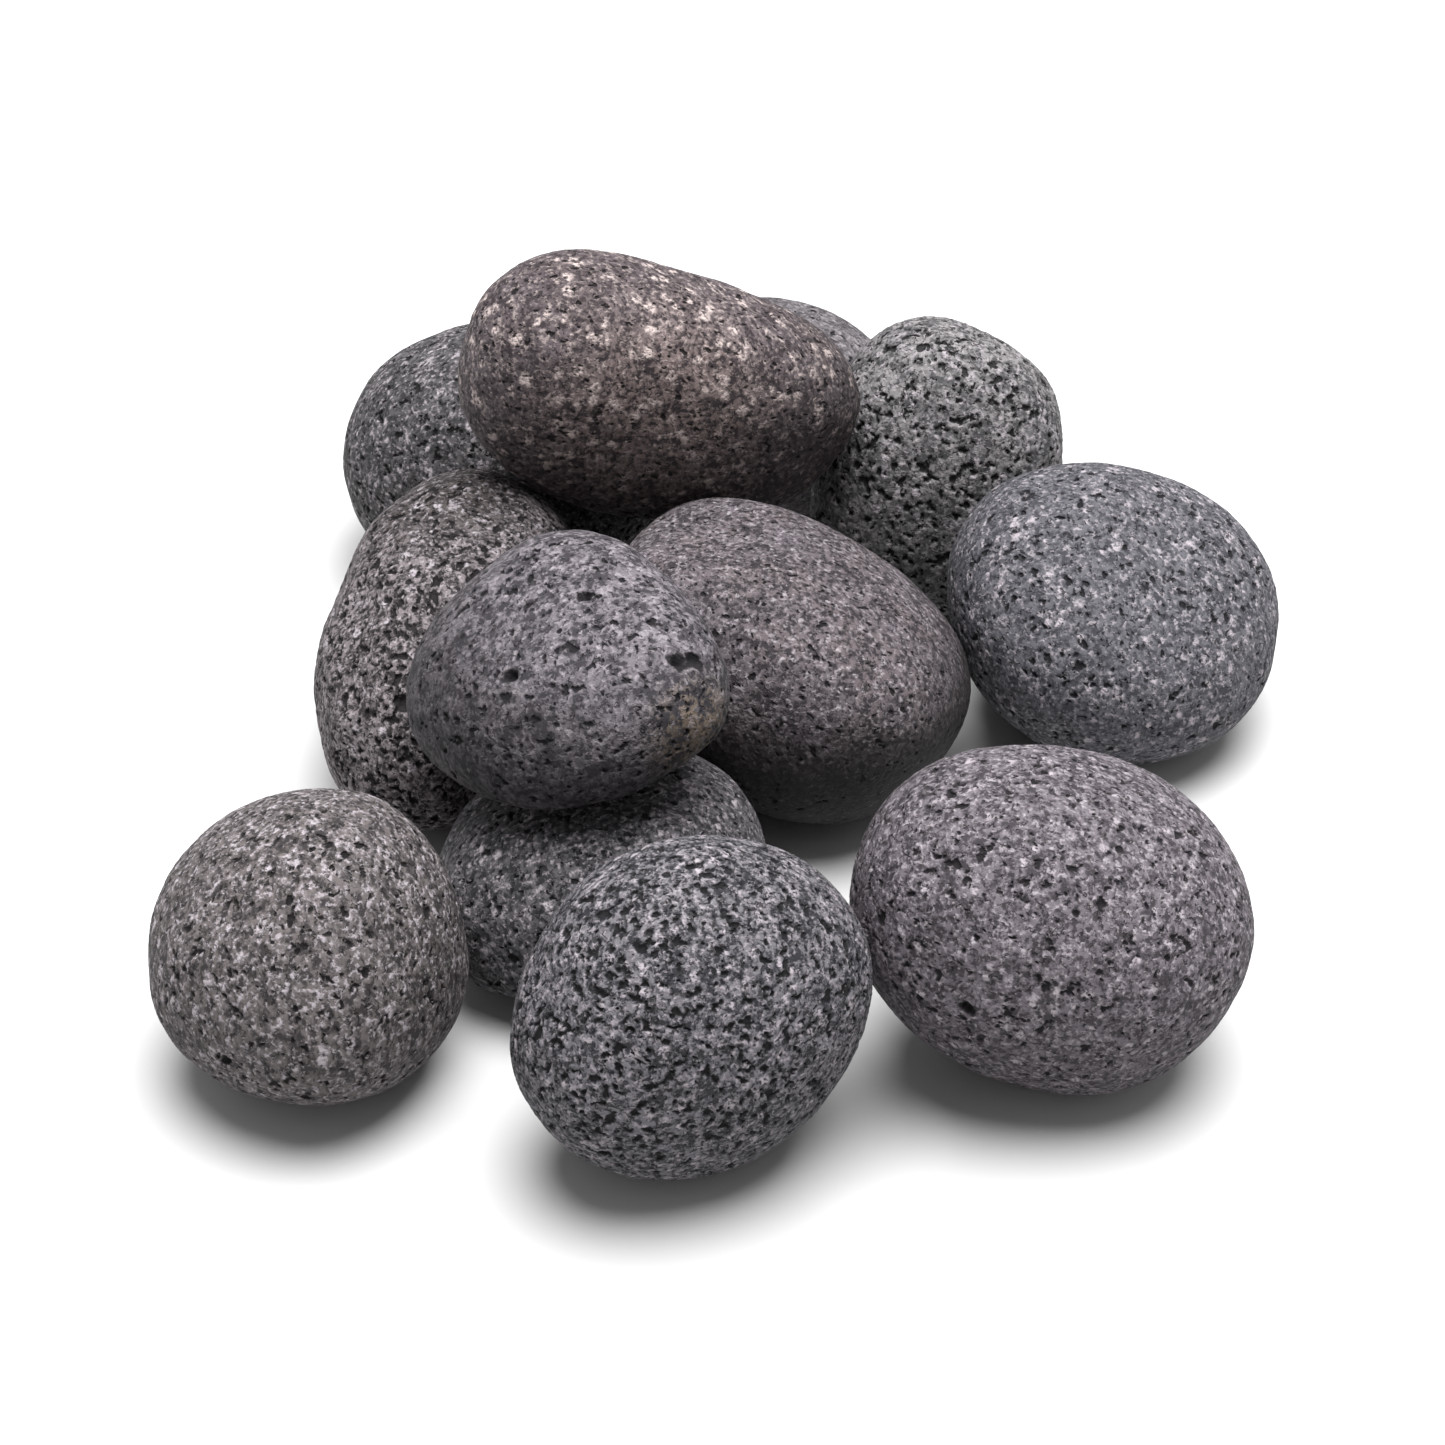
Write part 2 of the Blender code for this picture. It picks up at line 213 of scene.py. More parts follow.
class NodeBench:
    """Adds nodes to one tree, for a material or for a shape."""

    def __init__(self, tree: bpy.types.NodeTree) -> None:
        """Start work on a tree."""
        self.tree = tree

    def add(
        self, kind: str, settings: dict | None = None, sockets: dict | None = None
    ) -> bpy.types.Node:
        """Add one node.

        Args:
            kind: the node's type.
            settings: its properties, which are set first.
            sockets: values or links for its inputs, by name or by number.

        Returns:
            The node.
        """
        node = self.tree.nodes.new(kind)
        for name, setting in (settings or {}).items():
            setattr(node, name, setting)
        for name, value in (sockets or {}).items():
            self.plug(node.inputs[name], value)
        return node

    def plug(self, socket: bpy.types.NodeSocket, value: object) -> None:
        """Link a value into a socket, or set the socket to it.

        Args:
            socket: the input socket.
            value: a Value, a socket or a plain value.
        """
        if isinstance(value, Value):
            value = value.socket
        if isinstance(value, bpy.types.NodeSocket):
            self.tree.links.new(value, socket)
        else:
            socket.default_value = value

    def math(self, operation: str, *values: Value | float) -> Value:
        """Add a Math node.

        Args:
            operation: what it works out.
            values: its inputs, in order.

        Returns:
            Its result.
        """
        node = self.add("ShaderNodeMath", {"operation": operation}, dict(enumerate(values)))
        return Value(self, node.outputs[0])

    def vector(
        self, operation: str, *values: object, scale: object = None
    ) -> bpy.types.NodeSocket:
        """Add a Vector Math node.

        Args:
            operation: what it works out.
            values: its vector inputs, in order.
            scale: the factor of a SCALE operation.

        Returns:
            Its vector result.
        """
        sockets = dict(enumerate(values))
        if scale is not None:
            sockets["Scale"] = scale
        node = self.add("ShaderNodeVectorMath", {"operation": operation}, sockets)
        return node.outputs["Vector"]

    def distance(self, one: object, other: object) -> Value:
        """Return the distance between two points."""
        node = self.add("ShaderNodeVectorMath", {"operation": "DISTANCE"}, {0: one, 1: other})
        return Value(self, node.outputs["Value"])

    def noise(
        self, place: object, size: float | Value, detail: float = 2.0, rough: float = 0.5
    ) -> Value:
        """Add a cloudy noise.

        Args:
            place: where to read it.
            size: how far apart its lumps are, in metres.
            detail: how many finer layers it has.
            rough: how strong the finer layers are.

        Returns:
            The noise, from 0 to 1 about 0.5.
        """
        sockets = {"Vector": place, "Scale": 1 / size, "Detail": detail, "Roughness": rough}
        return Value(self, self.add("ShaderNodeTexNoise", {}, sockets).outputs[0])

    def wobble(self, place: object, size: float, reach: float) -> bpy.types.NodeSocket:
        """Return a small push to all sides, which gives shapes read there a ragged rim.

        Args:
            place: where to read it.
            size: how far apart its lumps are, in metres.
            reach: how long the longest push is, in metres.

        Returns:
            The push.
        """
        sockets = {"Vector": place, "Scale": 1 / size, "Detail": 2.0}
        cloud = self.add("ShaderNodeTexNoise", {}, sockets)
        push = self.vector("SUBTRACT", cloud.outputs["Color"], (0.5, 0.5, 0.5))
        return self.vector("SCALE", push, scale=reach)

    def cells(self, place: object, spacing: float | Value) -> tuple[Value, Value, Value]:
        """Add scattered cells.

        Args:
            place: where to read them.
            spacing: how far apart they are, in metres.

        Returns:
            The distance from the nearest cell's middle, as a share of the spacing, and two random
            numbers that belong to the cell.
        """
        node = self.add("ShaderNodeTexVoronoi", {}, {"Vector": place, "Scale": 1 / spacing})
        split = self.add("ShaderNodeSeparateXYZ", {}, {0: node.outputs["Color"]})
        return (
            Value(self, node.outputs["Distance"]),
            Value(self, split.outputs[0]),
            Value(self, split.outputs[1]),
        )

    def spots(self, place: object, spacing: float | Value, share: float | Value) -> Value:
        """Scatter round spots of mixed sizes.

        Args:
            place: where to read them.
            spacing: how far apart their places are, in metres.
            share: how many of the places have a spot, from 0 to 1.

        Returns:
            1 in a spot, 0 outside it, with a soft rim.
        """
        away, chance, fatness = self.cells(place, spacing)
        least, spread, core = 0.22, 0.30, 0.45
        radius = fatness * spread + least
        return away.ramp(radius, radius * core) * (1 - chance.above(share))

    def mix(self, share: Value | float, one: object, other: object) -> bpy.types.NodeSocket:
        """Blend two colours.

        Args:
            share: how much of the second colour shows.
            one: the first colour.
            other: the second colour.

        Returns:
            The blended colour.
        """
        node = self.add("ShaderNodeMix", {"data_type": "RGBA"}, {0: share})
        self.plug(node.inputs[6], (*one, 1) if isinstance(one, tuple) else one)
        self.plug(node.inputs[7], (*other, 1) if isinstance(other, tuple) else other)
        return node.outputs[2]


@dataclass(frozen=True)
class Stain:
    """A coloured patch on one side of a stone."""

    bearing: float  # from the stone's middle, in degrees
    climb: float  # above the horizon, in degrees
    radius: float
    colour: Colour


@dataclass(frozen=True)
class Spot:
    """Where a stone stands, and where its stain lies on it."""

    low: float  # the height of its lowest point
    high: float  # the height of its highest point
    stain: Vector | None


@dataclass(frozen=True)
class RockField:
    """The places and noises that all of one stone's colours are read from."""

    here: bpy.types.NodeSocket  # the point on the stone
    wobble: bpy.types.NodeSocket  # a small push, which makes rims ragged
    place: bpy.types.NodeSocket  # the point, shifted by the stone's seed
    ragged: bpy.types.NodeSocket  # the shifted point with the push, stretched upwards
    grain: Value  # the fine grain of the rock
    cloud: Value  # its light and dark clouds, about 0
    tone: Value  # both together


@dataclass(frozen=True)
class BasaltFinish:
    """The look of one stone's rock."""

    name: str
    shade: Colour  # the dark of the rock between its crystals
    body: Colour  # the rock's own grey
    blush: Colour  # the tint of its warmer or cooler patches
    crystal: Colour = (0.42, 0.38, 0.41)
    mineral: Mineral = Mineral.FLECKED
    pores: Pores = Pores.SCATTERED
    roughness: float = 0.82
    gloss: float = 0.3
    stretch: float = 1.0  # how much longer than wide the crystals are
    mottle: float = 0.33  # how strong the light and dark clouds are
    painted_foot_shade: float = 0.35  # how strong the painted shade towards the stone's foot is
    painted_shade_start: float = 0.8  # the share of its height where the painted shade starts
    painted_shade_end: float = 0.1  # the share of its height where the painted shade is darkest
    stain: Stain | None = None
    seed: float = 0.0

    def dress(self, spot: Spot) -> bpy.types.Material:
        """Make the material.

        Args:
            spot: where the stone stands.

        Returns:
            A procedural material that reads the stone's own coordinates and its pits.
        """
        material = bpy.data.materials.new(f"basalt_{self.name}")
        material.use_nodes = True
        bench = NodeBench(material.node_tree)
        shader = material.node_tree.nodes["Principled BSDF"]
        rocky = self._field(bench)
        rock = self._rock(bench, rocky, spot)
        rock, salt, large = self._crystals(bench, rocky, rock)
        hollow = self._hollows(bench, rocky)
        speck_and_painted_shade_colour = tuple(PIT_SHADE * part for part in self.shade)
        # dark specks, and painted shade in the pits and holes
        rock = bench.mix(hollow * PIT_STRENGTH, rock, speck_and_painted_shade_colour)
        # painted shade, darker towards the stone's foot
        rock = bench.mix(self._foot_shade_mask(bench, rocky, spot) * self.painted_foot_shade, rock, speck_and_painted_shade_colour)

        relief = rocky.grain * GRAIN_RELIEF + salt * SALT_RELIEF
        relief = relief + large * CRYSTAL_RELIEF - hollow * PIT_RELIEF
        sockets = {"Strength": 1.0, "Distance": RELIEF_HEIGHT, "Height": relief}
        bump = bench.add("ShaderNodeBump", {}, sockets)
        bench.plug(shader.inputs["Base Color"], rock)
        bench.plug(shader.inputs["Normal"], bump.outputs["Normal"])
        roughness = self.roughness + hollow * PIT_ROUGHENING - large * CRYSTAL_SMOOTHING
        bench.plug(shader.inputs["Roughness"], roughness)
        shader.inputs["Specular IOR Level"].default_value = self.gloss
        return material

    def _field(self, bench: NodeBench) -> RockField:
        """Read the places and noises that the colours come from.

        Args:
            bench: the material's tree.

        Returns:
            The places and noises.
        """
        here = bench.add("ShaderNodeTexCoord").outputs["Object"]
        shift = tuple(self.seed * step for step in SEED_STEP)
        place = bench.vector("ADD", here, shift)
        wobble = bench.wobble(place, size=0.0010, reach=0.0017)
        pushed = bench.vector("ADD", place, wobble)
        ragged = bench.vector("MULTIPLY", pushed, (1.0, 1.0, 1.0 / self.stretch))
        grain = bench.noise(ragged, GRAIN_SIZE, detail=2.5, rough=0.6)
        cloud = (bench.noise(place, CLOUD_SIZE) - 0.5) * self.mottle
        return RockField(here, wobble, place, ragged, grain, cloud, grain + cloud)

    def _rock(self, bench: NodeBench, rocky: RockField, spot: Spot) -> bpy.types.NodeSocket:
        """Colour the rock between the crystals.

        Args:
            bench: the material's tree.
            rocky: where its noises are.
            spot: where the stone stands.

        Returns:
            The colour, with the warmer or cooler patches and the stain.
        """
        rock = bench.mix(rocky.tone.ramp(*BODY_BAND), self.shade, self.body)
        patch = bench.noise(rocky.place, PATCH_SIZE, detail=3).ramp(*PATCH_BAND)
        blushed = bench.mix(rocky.tone.ramp(*BLUSH_BAND), self.shade, self.blush)
        rock = bench.mix(patch * PATCH_STRENGTH, rock, blushed)
        if self.stain:
            wandering = bench.vector("ADD", rocky.here, rocky.wobble)
            away = bench.distance(wandering, tuple(spot.stain))
            stained = bench.mix(rocky.tone.ramp(*BODY_BAND), self.shade, self.stain.colour)
            radius = self.stain.radius
            rock = bench.mix(away.ramp(radius, radius * STAIN_MIDDLE), rock, stained)
        return rock

    def _crystals(
        self, bench: NodeBench, rocky: RockField, rock: bpy.types.NodeSocket
    ) -> tuple[bpy.types.NodeSocket, Value, Value]:
        """Scatter pale dust and crystals over the rock.

        Args:
            bench: the material's tree.
            rocky: where its noises are.
            rock: the rock's colour.

        Returns:
            The colour with crystals, where the dust is, and where the large crystals are.
        """
        spacing, share, brightness, dusting = self.mineral.value
        chips = bench.noise(rocky.place, CHIP_SIZE, rough=0.6)
        large = bench.spots(rocky.ragged, spacing, share) * chips.ramp(*LARGE_CHIP_BAND)
        finer = spacing * SMALL_CRYSTAL
        small = bench.spots(rocky.ragged, finer, share) * chips.ramp(*SMALL_CHIP_BAND)
        salt = (chips + rocky.cloud).ramp(*SALT_BAND)
        rock = bench.mix(salt * dusting, rock, self.crystal)
        rock = bench.mix(small * dusting, rock, self.crystal)
        return bench.mix(large * brightness, rock, self.crystal), salt, large

    def _hollows(self, bench: NodeBench, rocky: RockField) -> Value:
        """Find where the rock is dark: in fine specks, and in the pits of the skin, where shade is
        painted.

        Args:
            bench: the material's tree.
            rocky: where its places are.

        Returns:
            From 0 on plain rock to 1 in a pit.
        """
        size, level, _ = self.pores.value
        specks = bench.noise(rocky.ragged, size * PEPPER_SHARE, detail=2.5, rough=0.6)
        start, end = PEPPER_BAND
        pepper = specks.ramp(level + start, level + end) * PEPPER_STRENGTH
        pit = bench.add("ShaderNodeAttribute", {"attribute_name": PIT_ATTRIBUTE})
        return pepper.largest(Value(bench, pit.outputs["Fac"]).ramp(*PIT_BAND))

    def _foot_shade_mask(self, bench: NodeBench, rocky: RockField, spot: Spot) -> Value:
        """Return how strong the painted shade at the stone's foot is at each point, from 0 to 1.

        Args:
            bench: the material's tree.
            rocky: where its places are.
            spot: where the stone stands.

        Returns:
            0 above the height where the painted shade starts, and 1 where it is darkest.
        """
        split = bench.add("ShaderNodeSeparateXYZ", {}, {0: rocky.here})
        height = Value(bench, split.outputs[2])
        tall = spot.high - spot.low
        start = spot.low + self.painted_shade_start * tall
        return height.ramp(start, spot.low + self.painted_shade_end * tall)


@dataclass(frozen=True)
class Dent:
    """A hollow worn into one side of a stone, or a swelling if its depth is negative."""

    bearing: float  # from the stone's middle, in degrees
    climb: float  # above the horizon, in degrees
    radius: float
    depth: float


@dataclass(frozen=True)
class Wear:
    """How a stone has been worn: all sizes in metres."""

    lump_size: float = 0.026
    lump_height: float = 0.0010
    facet_depth: float = 0.0
    ripple_size: float = 0.008
    ripple_height: float = 0.0003
    grain_size: float = 0.0012
    grain_height: float = 0.00015
    seed: float = 0.0


class SkinTree:
    """The geometry node tree that turns a rough closed shape into a weathered stone."""

    SIZES = (
        "Lump Size",
        "Lump Height",
        "Facet Depth",
        "Ripple Size",
        "Ripple Height",
        "Grain Size",
        "Grain Height",
        "Pore Size",
        "Pore Level",
        "Pore Depth",
        "Seed",
    )

    def __init__(self, name: str, dents: list[tuple[Vector, Dent]]) -> None:
        """Build the tree.

        Args:
            name: the tree's name.
            dents: where each dent's middle is, and the dent.
        """
        self.tree = bpy.data.node_groups.new(name, "GeometryNodeTree")
        self.bench = NodeBench(self.tree)
        self.dents = dents
        self.identifiers: dict[str, str] = {}
        self._add_inputs()
        self.inlet = self.bench.add("NodeGroupInput")
        geometry = self._smooth(self.inlet.outputs["Geometry"])
        geometry = self._wear(geometry)
        geometry = self._open_pores(geometry)
        self._finish(geometry)

    def _add_inputs(self) -> None:
        """Give the tree its named inputs and its output."""
        panel = self.tree.interface
        panel.new_socket("Geometry", in_out="INPUT", socket_type="NodeSocketGeometry")
        panel.new_socket("Geometry", in_out="OUTPUT", socket_type="NodeSocketGeometry")
        kinds = {"Fineness": "NodeSocketInt", "Material": "NodeSocketMaterial"}
        for name in (*self.SIZES, *kinds):
            kind = kinds.get(name, "NodeSocketFloat")
            socket = panel.new_socket(name, in_out="INPUT", socket_type=kind)
            self.identifiers[name] = socket.identifier

    def _size(self, name: str) -> Value:
        """Return one of the tree's inputs as a value."""
        return Value(self.bench, self.inlet.outputs[name])

    def _smooth(self, geometry: bpy.types.NodeSocket) -> bpy.types.NodeSocket:
        """Round the rough shape off into a fine even skin."""
        sockets = {"Mesh": geometry, "Level": self.inlet.outputs["Fineness"]}
        return self.bench.add("GeometryNodeSubdivisionSurface", {}, sockets).outputs["Mesh"]

    def _place(self) -> bpy.types.NodeSocket:
        """Shift the point being shaped by the stone's seed.

        Returns:
            The shifted point, where the skin's noises are read.
        """
        bench = self.bench
        here = bench.add("GeometryNodeInputPosition").outputs[0]
        seed = self._size("Seed")
        steps = {axis: seed * step for axis, step in enumerate(SKIN_SEED_STEP)}
        shift = bench.add("ShaderNodeCombineXYZ", {}, steps)
        return bench.vector("ADD", here, shift.outputs[0])

    def _push(self, geometry: bpy.types.NodeSocket, height: Value) -> bpy.types.NodeSocket:
        """Move the skin out along its normal.

        Args:
            geometry: the skin.
            height: how far each point moves, in metres.

        Returns:
            The moved skin.
        """
        normal = self.bench.add("GeometryNodeInputNormal").outputs[0]
        offset = self.bench.vector("SCALE", normal, scale=height)
        sockets = {"Geometry": geometry, "Offset": offset}
        return self.bench.add("GeometryNodeSetPosition", {}, sockets).outputs[0]

    def _wear(self, geometry: bpy.types.NodeSocket) -> bpy.types.NodeSocket:
        """Wear lumps, facets and dents into the skin, mostly inwards.

        Args:
            geometry: the smooth skin.

        Returns:
            The worn skin.
        """
        bench = self.bench
        place = self._place()
        lumps = bench.noise(place, self._size("Lump Size"), detail=1.5) * 2 - LUMP_MIDDLE
        ripples = bench.noise(place, self._size("Ripple Size"), detail=2) * 2 - 1
        away, _, _ = bench.cells(place, FACET_SPACING)
        facets = away.ramp(0.0, FACET_EDGE) - FACET_MIDDLE
        height = lumps * self._size("Lump Height") + ripples * self._size("Ripple Height")
        height = height + facets * self._size("Facet Depth")
        here = bench.add("GeometryNodeInputPosition").outputs[0]
        wobble = bench.wobble(place, size=0.0025, reach=0.0030)
        wandering = bench.vector("ADD", here, wobble)
        hole: Value | float = 0.0
        for middle, dent in self.dents:
            away = bench.distance(wandering, tuple(middle))
            height = height - away.ramp(dent.radius, dent.radius * DENT_FLOOR) * dent.depth
            # a small dent is an open hole, marked to get painted shade inside
            if dent.radius < HOLE_RADIUS:
                hole = away.ramp(dent.radius, dent.radius * HOLE_FLOOR).largest(hole)
        return self._push(self._keep_pit(geometry, hole), height)

    def _keep_pit(self, geometry: bpy.types.NodeSocket, pit: Value | float) -> bpy.types.NodeSocket:
        """Store how deep in a pit each point is.

        Args:
            geometry: the skin.
            pit: from 0 on the open skin to 1 in a pit.

        Returns:
            The skin with the values stored.
        """
        sockets = {"Geometry": geometry, "Name": PIT_ATTRIBUTE, "Value": pit}
        settings = {"data_type": "FLOAT", "domain": "POINT"}
        return self.bench.add("GeometryNodeStoreNamedAttribute", settings, sockets).outputs[0]

    def _open_pores(self, geometry: bpy.types.NodeSocket) -> bpy.types.NodeSocket:
        """Open pores and roughen the skin, and keep where the pits are for the finish.

        Args:
            geometry: the worn skin.

        Returns:
            The pitted skin.
        """
        bench = self.bench
        place = self._place()
        ragged = bench.vector("ADD", place, bench.wobble(place, size=0.0020, reach=0.0018))
        crowded = bench.noise(place, CROWDING_SPACING, detail=1).ramp(*CROWDING_BAND)
        level = self._size("Pore Level") + crowded * CROWDING_RISE - CROWDING_MIDDLE
        pores = bench.noise(ragged, self._size("Pore Size"))
        pit = pores.ramp(level, level - PORE_RIM)
        grain = bench.noise(place, self._size("Grain Size"), detail=3, rough=0.6) * 2 - 1
        height = grain * self._size("Grain Height") - pit * self._size("Pore Depth")
        settings, sockets = {"data_type": "FLOAT"}, {"Name": PIT_ATTRIBUTE}
        stored = bench.add("GeometryNodeInputNamedAttribute", settings, sockets)
        pit = pit.largest(Value(bench, stored.outputs["Attribute"]))
        return self._push(self._keep_pit(geometry, pit), height)

    def _finish(self, geometry: bpy.types.NodeSocket) -> None:
        """Keep the stone above the ground, and end the tree.

        Args:
            geometry: the pitted skin.
        """
        bench = self.bench
        here = bench.add("GeometryNodeInputPosition").outputs[0]
        split = bench.add("ShaderNodeSeparateXYZ", {}, {0: here})
        raised = Value(bench, split.outputs[2]).largest(GROUND_GAP)
        sockets = {0: split.outputs[0], 1: split.outputs[1], 2: raised}
        place = bench.add("ShaderNodeCombineXYZ", {}, sockets).outputs[0]
        sockets = {"Geometry": geometry, "Position": place}
        set_place = bench.add("GeometryNodeSetPosition", {}, sockets)
        smooth = bench.add("GeometryNodeSetShadeSmooth", {}, {0: set_place.outputs[0]})
        real = bench.add("GeometryNodeRealizeInstances", {}, {0: smooth.outputs[0]})
        sockets = {"Geometry": real.outputs[0], "Material": self.inlet.outputs["Material"]}
        dressed = bench.add("GeometryNodeSetMaterial", {}, sockets)
        bench.add("NodeGroupOutput", {}, {0: dressed.outputs[0]})


@dataclass
class HeapStone:
    """One stone of the heap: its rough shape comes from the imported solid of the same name."""

    node: str
    finish: BasaltFinish
    wear: Wear = field(default_factory=Wear)
    dents: tuple[Dent, ...] = ()
    fineness: int = 4  # how often the skin is subdivided

    def rough_shape(self) -> bpy.types.Object:
        """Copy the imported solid, with its loose triangles merged and joined into quads.

        Returns:
            The rough closed shape.
        """
        shell = bmesh.new()
        shell.from_mesh(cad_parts[self.node].data)
        bmesh.ops.remove_doubles(shell, verts=shell.verts, dist=MERGE_REACH)
        limit = math.radians(JOIN_ANGLE)
        bmesh.ops.join_triangles(
            shell, faces=shell.faces, angle_face_threshold=limit, angle_shape_threshold=limit
        )
        self._swell(shell)
        mesh = bpy.data.meshes.new(f"{self.node}_skin")
        shell.to_mesh(mesh)
        shell.free()
        rough = bpy.data.objects.new(f"{self.node}_rough", mesh)
        bpy.context.scene.collection.objects.link(rough)
        return rough

    def _swell(self, shell: bmesh.types.BMesh) -> None:
        """Move each corner out by what smoothing will take from it, so the size stays.

        Args:
            shell: the rough shape, which is changed.
        """
        moves = []
        for corner in shell.verts:
            around = [edge.other_vert(corner).co for edge in corner.link_edges]
            middle = sum(around, Vector()) / len(around)
            moves.append((corner.co - middle) * SMOOTHING_LOSS)
        for corner, move in zip(shell.verts, moves, strict=True):
            corner.co += move

    def surface_point(self, bearing: float, climb: float) -> Vector:
        """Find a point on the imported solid.

        Args:
            bearing: its direction from the stone's middle, in degrees.
            climb: its direction above the horizon, in degrees.

        Returns:
            The point.
        """
        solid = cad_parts[self.node].data
        corners = [corner.co for corner in solid.vertices]
        tree = BVHTree.FromPolygons(corners, [tuple(face.vertices) for face in solid.polygons])
        low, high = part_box(self.node)
        level = math.cos(math.radians(climb))
        way = Vector(
            (
                level * math.cos(math.radians(bearing)),
                level * math.sin(math.radians(bearing)),
                math.sin(math.radians(climb)),
            )
        )
        return tree.ray_cast((Vector(low) + Vector(high)) / 2, way)[0]

    def spot(self) -> Spot:
        """Find where the stone stands, and where its stain lies on it.

        Returns:
            The stone's spot.
        """
        low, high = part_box(self.node)
        stain = self.finish.stain
        place = self.surface_point(stain.bearing, stain.climb) if stain else None
        return Spot(low[2], high[2], place)

    def build(self) -> bpy.types.Object:
        """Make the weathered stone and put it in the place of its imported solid.

        Returns:
            The finished piece.
        """
        rough = self.rough_shape()
        dents = [(self.surface_point(dent.bearing, dent.climb), dent) for dent in self.dents]
        skin = SkinTree(f"weathered_{self.node}", dents)
        modifier = rough.modifiers.new("Skin", "NODES")
        modifier.node_group = skin.tree
        for name, value in self._inputs().items():
            modifier[skin.identifiers[name]] = value
        bpy.context.view_layer.update()
        graph = bpy.context.evaluated_depsgraph_get()
        mesh = bpy.data.meshes.new_from_object(rough.evaluated_get(graph), depsgraph=graph)
        mesh.name = f"{self.node}_skin"
        piece = bpy.data.objects.new(f"{self.node}_skin", mesh)
        bpy.context.scene.collection.objects.link(piece)
        bpy.data.objects.remove(rough)
        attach(piece, self.node)
        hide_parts(self.node)
        return piece

    def _inputs(self) -> dict[str, object]:
        """Gather the value of each of the skin tree's inputs.

        Returns:
            The values, by the inputs' names.
        """
        size, level, depth = self.finish.pores.value
        wear = self.wear
        return {
            "Lump Size": wear.lump_size,
            "Lump Height": wear.lump_height,
            "Facet Depth": wear.facet_depth,
            "Ripple Size": wear.ripple_size,
            "Ripple Height": wear.ripple_height,
            "Grain Size": wear.grain_size,
            "Grain Height": wear.grain_height,
            "Pore Size": size,
            "Pore Level": level,
            "Pore Depth": depth,
            "Seed": wear.seed,
            "Fineness": self.fineness,
            "Material": self.finish.dress(self.spot()),
        }


@dataclass
class StoneHeap:
    """The whole heap."""

    stones: list[HeapStone]

    def build(self) -> None:
        """Build every stone and report it."""
        for stone in self.stones:
            piece = stone.build()
            log.info("%s: %d faces", piece.name, len(piece.data.polygons))


